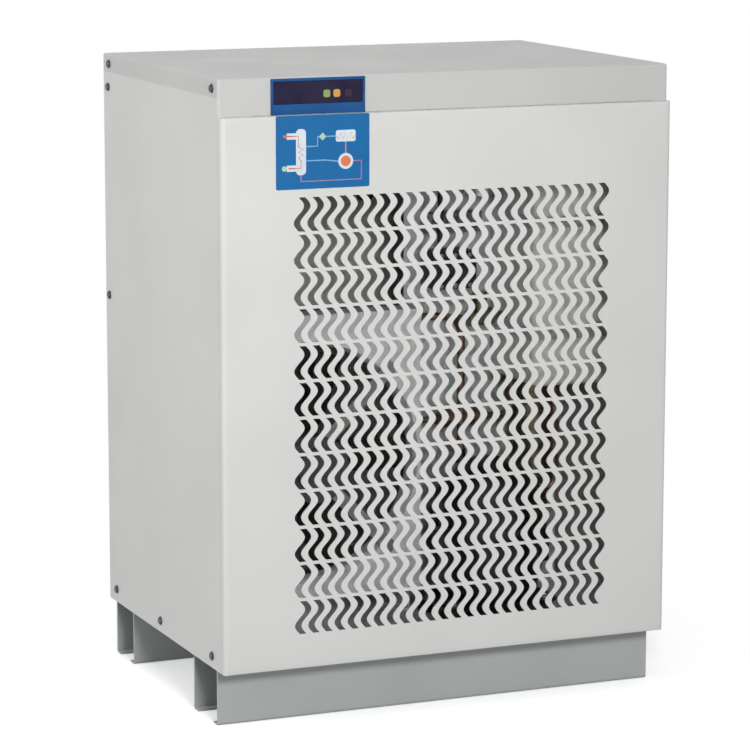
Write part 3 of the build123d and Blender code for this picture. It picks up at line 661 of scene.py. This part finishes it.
def display():
    """The blue surround with its opening, the dark window set into it, and three lamps behind lenses."""
    low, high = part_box("display_bezel")
    win_low, win_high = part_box("display_window")
    surround = block(low, high)
    edit(surround)
    pick(surround, "FACE", lambda face, at: at.y < low.y + 0.1 * MM)
    bpy.ops.mesh.inset(thickness=1.0 * MM)
    size = win_high - win_low
    centre = (win_high + win_low) / 2
    inner = (high.x - low.x - 2 * MM, high.z - low.z - 2 * MM)
    bpy.ops.transform.resize(value=(size.x / inner[0], 1, size.z / inner[1]),
                             center_override=((low.x + high.x) / 2, 0, (low.z + high.z) / 2))
    bpy.ops.transform.translate(value=(centre.x - (low.x + high.x) / 2, 0, centre.z - (low.z + high.z) / 2))
    extrude((0, 1.6 * MM, 0))
    pick(surround, "EDGE", lambda edge, at: abs(edge.verts[0].co.y - edge.verts[1].co.y) > 2 * MM)
    bpy.ops.mesh.bevel(offset=1.5 * MM, segments=4, affect="EDGES")
    pick(surround, "EDGE", lambda edge, at: at.y < low.y + 0.1 * MM)
    bpy.ops.mesh.bevel(offset=0.35 * MM, segments=2, affect="EDGES")
    settle(surround, "display_surround", BLUE_PLASTIC, replaced=["display_bezel"])
    window = block(win_low + Vector((0.1, 0, 0.1)) * MM, win_high - Vector((0.1, 0, 0.1)) * MM)
    soften(window, 0.3 * MM, 2)
    settle(window, "display_tinted_window", WINDOW, replaced=["display_window"], angle=15)
    lamp_low, lamp_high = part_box("status_lamps")
    middle = (lamp_low.z + lamp_high.z) / 2
    lenses = ((-150.3, GREEN_LAMP, "green"), (-138.2, AMBER_LAMP, "amber"), (-124.0, RED_LAMP, "red"))
    for x, material, word in lenses:
        half = Vector((4.1, 0, 4.3)) * MM
        front = win_low.y - 0.08 * MM
        lens = block(Vector((x * MM, front, middle)) - half, Vector((x * MM, lamp_high.y, middle)) + half)
        edit(lens)
        pick(lens, "EDGE", lambda edge, at: abs(edge.verts[0].co.y - edge.verts[1].co.y) > MM)
        bpy.ops.mesh.bevel(offset=2.6 * MM, segments=5, affect="EDGES")
        bpy.ops.object.mode_set(mode="OBJECT")
        settle(lens, word + "_lamp_lens", material, replaced=["status_lamps"])


def flow_diagram():
    """The blue film on the panel with its printed diagram: exchanger, compressor, condenser, filter."""
    low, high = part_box("schematic_label")
    film_y = high.y - 0.4 * MM
    film = block((low.x, film_y, low.z), high + Vector((0, 0, MM)))
    edit(film)
    pick(film, "EDGE", lambda edge, at: abs(edge.verts[0].co.y - edge.verts[1].co.y) > 0.3 * MM)
    bpy.ops.mesh.bevel(offset=2 * MM, segments=5, affect="EDGES")
    bpy.ops.object.mode_set(mode="OBJECT")
    settle(film, "flow_diagram_film", BLUE_FILM, replaced=["schematic_label"])
    ink_depth = 0.07 * MM

    def spot(u, v):
        return Vector((low.x + u * MM, film_y, high.z - v * MM))

    def line(points, width):
        return flatten(tube([spot(*point) for point in points], width / 2 * MM), 1, film_y, 2 * ink_depth / (width * MM))

    def patch(u, v, corner):
        piece = block(spot(u[0], v[1]) - Vector((0, ink_depth, 0)), spot(u[1], v[0]) + Vector((0, ink_depth, 0)))
        edit(piece)
        pick(piece, "EDGE", lambda edge, at: abs(edge.verts[0].co.y - edge.verts[1].co.y) > ink_depth)
        bpy.ops.mesh.bevel(offset=corner * MM, segments=5, affect="EDGES")
        bpy.ops.object.mode_set(mode="OBJECT")
        return piece

    def dot(u, v, radius, sides=32):
        return disc(spot(u, v) + Vector((0, ink_depth, 0)), (0, -1, 0), radius * MM, 2 * ink_depth, sides)

    def diamond(u, v, radius):
        piece = disc((0, 0, 0), (0, 0, 1), radius * MM, 2 * ink_depth, 4)
        piece.data.transform(Matrix.Translation(spot(u, v)) @ Matrix.Rotation(math.pi / 2, 4, "X"))
        return piece

    ink_drawing(line, patch, dot, diamond, ink_depth)


def ink_drawing(line, patch, dot, diamond, ink_depth):
    """The printed motifs, each ink as one thin layer; a motif on another stands half a layer higher."""
    raise_by = Matrix.Translation((0, -ink_depth * 0.15, 0))
    pale = [patch((24, 36), (14, 66), 5.0), line([(13, 22), (30, 22)], 7), line([(13, 58), (30, 58)], 7),
            dot(84, 52, 9.0), patch((72, 96), (17, 30), 2.5)]
    zigzag = [(72, 23.5)] + [(75 + 3 * step, 20.0 if step % 2 else 27.0) for step in range(7)] + [(96, 23.5)]
    coil = [(9, 22), (27, 22), (27, 34), (33, 37), (27, 40), (33, 43), (27, 46), (30, 50), (30, 58), (15, 58)]
    warm = [line(coil, 3.0), line(zigzag, 2.0), dot(84, 52, 6.0)]
    pink = [line([(84, 43), (84, 30)], 1.5), line([(93, 52), (103, 52), (103, 73), (30, 73), (30, 66)], 1.2)]
    blue = [line([(72, 23.5), (50, 23.5), (50, 34), (36, 34)], 1.3),
            line([(36, 50), (60, 50), (75, 52)], 1.3)]
    green = [dot(10, 58, 3.0), diamond(56, 23.5, 4.5)]
    groups = ((pale, PALE_INK, "pale"), (warm, RED_INK, "orange"), (pink, PINK_INK, "pink"),
              (blue, LINE_INK, "blue"), (green, GREEN_INK, "green"))
    for order, (pieces, material, word) in enumerate(groups):
        layer = join(pieces)
        if order:
            layer.data.transform(raise_by)
        settle(layer, word + "_ink_of_the_diagram", material, replaced=["schematic_label"])


display()
flow_diagram()


# Fittings at the back

def hexagon(place, across, length, bore):
    """A hexagon flange with rounded corners and a countersunk hole, standing back from a place."""
    piece = disc(Vector(place) * MM, (0, 1, 0), across / 2 / math.cos(math.pi / 6) * MM, length * MM, 6)
    soften(piece, 0.9 * MM, 3)
    outline = ((0, -1), (bore, -1), (bore, length - 1.2), (bore + 2.2, length + 1), (0, length + 1))
    cut(piece, turned(outline, place, (0, 1, 0)))
    return piece


def threaded_port(name, node, place, hexagon_size, body, thread):
    """A turned fitting through the back: its barrel, its hexagon and the thread in its mouth."""
    x, y, z = place
    across, flange = hexagon_size
    radius, inner_y = body
    minor, major, pitch, turns = thread
    floor = y - inner_y + flange - turns * pitch - 1
    barrel = ((0, 0), (radius, 0), (radius, y - inner_y), (major, y - inner_y), (major, floor), (0, floor - 2))
    pieces = [turned(barrel, (x, inner_y, z), (0, 1, 0)), hexagon(place, across, flange, major),
              inside_thread(minor, major, pitch, turns, (x, y + flange - 0.8, z), (0, -1, 0))]
    settle(join(pieces), name, BRASS, replaced=[node])


def cable_gland():
    """The nylon gland: a hexagon, a ribbed dome nut and the rubber ring that grips a cable."""
    x, y, z = 60, 198.5, 560
    dome = turned(((7.5, 0), (10.2, 0), (10.2, 4), (9.6, 5.8), (8.2, 7), (7.5, 7)), (x, y + 6, z), (0, 1, 0))
    ribs = []
    for index in range(16):
        angle = index * math.pi / 8
        bar = disc((x * MM + 10.1 * MM * math.cos(angle), (y + 6) * MM, z * MM + 10.1 * MM * math.sin(angle)),
                   (0, 1, 0), 0.75 * MM, 4.2 * MM, 8)
        ribs.append(bar)
    barrel = turned(((5.2, 0), (10, 0), (10, 12.5), (5.2, 12.5)), (x, 186, z), (0, 1, 0))
    settle(join([hexagon((x, y, z), 24, 6, 7.5), dome, barrel, *ribs]), "cable_gland_body", BLACK_NYLON,
           replaced=["cable_gland"])
    seal = turned(((5.1, 0), (7.4, 0), (7.4, 5.2), (6.6, 6), (5.6, 5.4), (5.1, 4.6)), (x, y + 6.4, z), (0, 1, 0))
    settle(seal, "cable_gland_seal", RUBBER, replaced=["cable_gland"])


for port_x, word in ((180, "air_inlet"), (243, "air_outlet")):
    threaded_port(word + "_threaded_port", word + "_port", (port_x, 198.5, 604), (50, 13), (21, 150),
                  (15.15, 16.62, 2.309, 10))
threaded_port("drain_threaded_port", "drain_port", (215, 198.5, 165), (24, 13), (10, 172),
              (5.72, 6.58, 1.337, 9))
cable_gland()


# Condenser and exchanger

def condenser():
    """Thin fins pressed onto two rows of copper tube, between the end plates."""
    low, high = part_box("condenser_coil")
    pitch = 2.5 * MM
    count = int((high.x - low.x) / pitch)
    fin = block(low, (low.x + 0.25 * MM, high.y, high.z))
    apply_modifier(fin, "ARRAY", count=count, use_relative_offset=False, use_constant_offset=True,
                   constant_offset_displace=(pitch, 0, 0))
    settle(fin, "condenser_fins", FIN_ALLOY, replaced=["condenser_coil"])
    rows = []
    for y in (-7, 15):
        for index in range(12):
            z = (135 + index * 26 + (13 if y > 0 else 0)) * MM
            rows.append(disc((low.x, y * MM, z), (1, 0, 0), 4.2 * MM, high.x - low.x, 20))
    settle(join(rows), "condenser_tubes", COPPER, replaced=["condenser_coil"])


def foam_jacket():
    """The exchanger's foam jacket with soft corners, and two collars round its pipes."""
    low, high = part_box("exchanger_jacket")
    body_back = 50 * MM
    body = block(low, (high.x, body_back, high.z))
    soften(body, 9 * MM, 4)
    collars = []
    for x in (180, 243):
        outline = ((0, -4), (17, -4), (17, 6.5), (15.5, 8), (14, 8), (0, 7))
        collars.append(turned(outline, (x, 50, 604), (0, 1, 0), 32))
    settle(join([body, *collars]), "exchanger_foam_jacket", FOAM, replaced=["exchanger_jacket"])


condenser()
foam_jacket()


# Compressor mounts and the electrics

def corners_of(node, inset):
    """The four corners of a node's box seen from above, in millimetres and drawn in by an inset."""
    low, high = (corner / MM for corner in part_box(node))
    return [(x, y) for x in (low.x + inset, high.x - inset) for y in (low.y + inset, high.y - inset)]


def compressor_mounts():
    """Four ribbed rubber grommets, with a flanged bolt over each of them."""
    low, high = (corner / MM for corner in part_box("compressor_mounts"))
    height = high.z - low.z
    rib, neck = 11, 8.5
    outline = [(0, 0), (rib, 0)]
    for part, radius in ((0.25, rib), (0.32, neck), (0.42, neck), (0.5, rib), (0.58, neck), (0.68, neck), (0.75, rib)):
        outline.append((radius, part * height))
    outline += [(rib, height), (0, height)]
    centres = corners_of("compressor_mounts", rib)
    grommets = [turned(outline, (x, y, low.z), (0, 0, 1), 24) for x, y in centres]
    settle(join(grommets), "compressor_grommets", RUBBER, replaced=["compressor_mounts"])
    bolt = flange_screw()
    bolt.data.transform(Matrix.Diagonal((1.667, 1.667, 2.4, 1)))
    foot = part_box("compressor_bolts")[0].z
    heads = [copy_to(bolt, Matrix.Translation((x * MM, y * MM, foot))) for x, y in centres]
    bpy.data.objects.remove(bolt)
    settle(join(heads), "compressor_flange_bolts", ZINC_PLATE, replaced=["compressor_bolts"])


def slotted_screw():
    """A round screw head with a slot, standing on the origin along Z."""
    head = disc((0, 0, 0), (0, 0, 1), 2.9 * MM, 1.8 * MM, 20)
    soften(head, 0.4 * MM, 2)
    cut(head, block((-4 * MM, -0.45 * MM, 1.0 * MM), (4 * MM, 0.45 * MM, 3 * MM)))
    return head


def terminal_screws(name, places, node):
    """Slotted screws at their places, all of them facing the front."""
    face_front = Vector((0, -1, 0)).to_track_quat("Z", "Y").to_matrix().to_4x4()
    first = slotted_screw()
    twins = []
    for index, place in enumerate(places):
        spin = Matrix.Rotation(0.6 * index, 4, "Z")
        twins.append(copy_to(first, Matrix.Translation(place) @ face_front @ spin))
    bpy.data.objects.remove(first)
    settle(join(twins), name, ZINC_PLATE, replaced=[node])


def contactor():
    """A moulded case with a recess in its front, the armature in it and a row of screws at each end."""
    low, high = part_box("contactor")
    rim, depth = 8 * MM, 8 * MM
    case = block(low, high)
    edit(case)
    pick(case, "FACE", lambda face, at: at.y < low.y + 0.1 * MM)
    bpy.ops.mesh.inset(thickness=rim)
    extrude((0, depth, 0))
    bpy.ops.object.mode_set(mode="OBJECT")
    soften(case, 0.8 * MM, 2)
    centre = (low + high) / 2
    reach = Vector((12, 0, 7)) * MM
    armature = block((centre.x - reach.x, low.y + 2 * MM, centre.z - reach.z),
                     (centre.x + reach.x, low.y + depth + MM, centre.z + reach.z))
    soften(armature, 1.2 * MM, 3)
    settle(join([case, armature]), "contactor_case", BLACK_NYLON, replaced=["contactor"])
    columns = [centre.x + step * 19 * MM for step in (-1, 0, 1)]
    places = [Vector((x, low.y, z)) for x in columns for z in (low.z + rim / 2, high.z - rim / 2)]
    terminal_screws("contactor_screws", places, "contactor")


def terminal_block():
    """A row of five wire cages between ribs, a slotted screw in each of them."""
    low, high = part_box("terminal_block")
    body = block(low, high)
    lefts = [low.x + (6 + 13.2 * index) * MM for index in range(5)]
    depth = 8 * MM
    for left in lefts:
        cut(body, block((left, low.y - MM, low.z + 4 * MM), (left + 8 * MM, low.y + depth, high.z - 4 * MM)))
    soften(body, 0.5 * MM, 2)
    settle(body, "terminal_block_body", GREY_PLASTIC, replaced=["terminal_block"])
    middle = (low.z + high.z) / 2
    places = [Vector((left + 4 * MM, low.y + depth, middle + side * 4.2 * MM)) for left in lefts for side in (-1, 1)]
    terminal_screws("terminal_block_screws", places, "terminal_block")


def run_capacitor():
    """A drawn can with a rolled rim round its lid, and two flat tabs on it."""
    low, high = (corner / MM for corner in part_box("run_capacitor"))
    radius, height = (high.x - low.x) / 2, high.z - low.z
    x, y = (low.x + high.x) / 2, low.y + radius
    outline = ((0, 0), (radius - 1.5, 0), (radius, 1.5), (radius, height - 6), (radius - 0.8, height - 5),
               (radius - 0.8, height - 3.5), (radius, height - 2.5), (radius, height - 0.6),
               (radius - 0.6, height), (radius - 1.6, height), (radius - 2, height - 1.5), (0, height - 1.5))
    can = turned(outline, (x, y, low.z), (0, 0, 1))
    tabs = []
    for side in (-1, 1):
        near = Vector((x + side * 7, y, high.z)) * MM
        tab = block(near - Vector((0.4, 3.1, 1.6)) * MM, near + Vector((0.4, 3.1, 5)) * MM)
        soften(tab, 0.25 * MM, 1)
        tabs.append(tab)
    settle(join([can, *tabs]), "run_capacitor_can", CAN_ALLOY, replaced=["run_capacitor"])


compressor_mounts()
contactor()
terminal_block()
run_capacitor()


# Stage, light and camera

def pale_floor():
    """A wide white floor. The camera sees its shadow near the cabinet and pure white farther out;
    light that bounces off it is held back, as on a matt studio sheet."""
    deselect()
    bpy.ops.mesh.primitive_plane_add(size=60, location=(0, 0, 0))
    floor = bpy.context.object
    floor.name = "floor"
    material, tree, shader, place = finish_of("white studio floor", "#FAFAFA", 1.0)
    shader.inputs["Specular IOR Level"].default_value = 0.0
    lift = add_node(tree, "ShaderNodeEmission", {"Color": hex_colour("#FFFFFF"), "Strength": 0.34})
    near = add_node(tree, "ShaderNodeAddShader")
    tree.links.new(shader.outputs[0], near.inputs[0])
    tree.links.new(lift.outputs[0], near.inputs[1])
    white = add_node(tree, "ShaderNodeEmission", {"Color": hex_colour("#FFFFFF"), "Strength": 1.0})
    reach = add_node(tree, "ShaderNodeVectorMath", operation="LENGTH")
    tree.links.new(place, reach.inputs[0])
    ramp = {"Value": reach.outputs["Value"], "From Min": 0.34, "From Max": 0.7, "To Min": 0.0, "To Max": 1.0}
    far = add_node(tree, "ShaderNodeMapRange", ramp, interpolation_type="SMOOTHSTEP").outputs["Result"]
    seen = mixed(tree, far, near.outputs[0], white.outputs[0])
    bounce = add_node(tree, "ShaderNodeBsdfDiffuse", {"Color": hex_colour("#B8B8B8")})
    either = mixed(tree, seen_directly(tree), bounce.outputs[0], seen)
    tree.links.new(either, tree.nodes["Material Output"].inputs["Surface"])
    floor.data.materials.append(material)


def mixed(tree, factor, first, second):
    """One shader turned into another by a factor."""
    mix = add_node(tree, "ShaderNodeMixShader", {"Fac": factor})
    tree.links.new(first, mix.inputs[1])
    tree.links.new(second, mix.inputs[2])
    return mix.outputs[0]


def seen_directly(tree):
    """One for what the camera sees itself, in a reflection or through glass, and else nought."""
    path = add_node(tree, "ShaderNodeLightPath")
    total = path.outputs["Is Camera Ray"]
    for kind in ("Is Glossy Ray", "Is Transmission Ray"):
        either = add_node(tree, "ShaderNodeMath", operation="MAXIMUM")
        tree.links.new(total, either.inputs[0])
        tree.links.new(path.outputs[kind], either.inputs[1])
        total = either.outputs[0]
    return total


def world_light():
    """A soft light, strongest from above; the camera and reflections see white."""
    world = bpy.data.worlds.new("studio")
    bpy.context.scene.world = world
    world.use_nodes = True
    tree = world.node_tree
    light = tree.nodes["Background"]
    light.inputs["Color"].default_value = hex_colour("#FFFFFF")
    direction = add_node(tree, "ShaderNodeTexCoord").outputs["Generated"]
    height = add_node(tree, "ShaderNodeSeparateXYZ", {"Vector": direction}).outputs["Z"]
    sky = {"Value": height, "From Min": 0.0, "From Max": 0.9, "To Min": 0.06, "To Max": 0.72}
    glow = add_node(tree, "ShaderNodeMapRange", sky).outputs["Result"]
    tree.links.new(glow, light.inputs["Strength"])
    seen = add_node(tree, "ShaderNodeBackground", {"Color": hex_colour("#FFFFFF"), "Strength": 1.0})
    either = mixed(tree, seen_directly(tree), light.outputs[0], seen.outputs[0])
    tree.links.new(either, tree.nodes["World Output"].inputs["Surface"])


def lamp(name, place, target, size, power, seen_in_gloss=True):
    """A square soft box that points at a target."""
    data = bpy.data.lights.new(name, "AREA")
    data.size = size
    data.energy = power
    lamp_object = bpy.data.objects.new(name, data)
    lamp_object.location = place
    lamp_object.visible_glossy = seen_in_gloss
    aim = Vector(target) - Vector(place)
    lamp_object.rotation_euler = aim.to_track_quat("-Z", "Y").to_euler()
    bpy.context.scene.collection.objects.link(lamp_object)


def photograph_camera():
    """The camera where the photograph was taken from, worked out from the cabinet's corners."""
    azimuth, pitch, roll = 0.39867, 0.17375, 0.00104
    place = Vector((-1.5537, -3.6735, 1.0628))
    forward = Vector((math.sin(azimuth) * math.cos(pitch), math.cos(azimuth) * math.cos(pitch), -math.sin(pitch)))
    right = Vector((math.cos(azimuth), -math.sin(azimuth), 0))
    up = right.cross(forward)
    right, up = right * math.cos(roll) + up * math.sin(roll), up * math.cos(roll) - right * math.sin(roll)
    data = bpy.data.cameras.new("camera")
    data.sensor_width = 36
    data.lens = 160.6
    data.clip_end = 100
    camera = bpy.data.objects.new("camera", data)
    camera.matrix_world = Matrix.Translation(place) @ Matrix((right, up, -forward)).transposed().to_4x4()
    bpy.context.scene.collection.objects.link(camera)
    bpy.context.scene.camera = camera


pale_floor()
world_light()
lamp("key on the front", (-0.45, -1.9, 0.95), (0, 0, 0.42), 0.35, 21.5)
lamp("left light", (-1.9, -0.05, 1.1), (0, 0, 0.52), 0.8, 12.5, seen_in_gloss=False)
lamp("rear fill", (0.6, 3.0, 0.9), (0, 0, 0.4), 1.6, 18, seen_in_gloss=False)
photograph_camera()
bpy.context.scene.view_settings.view_transform = "Standard"
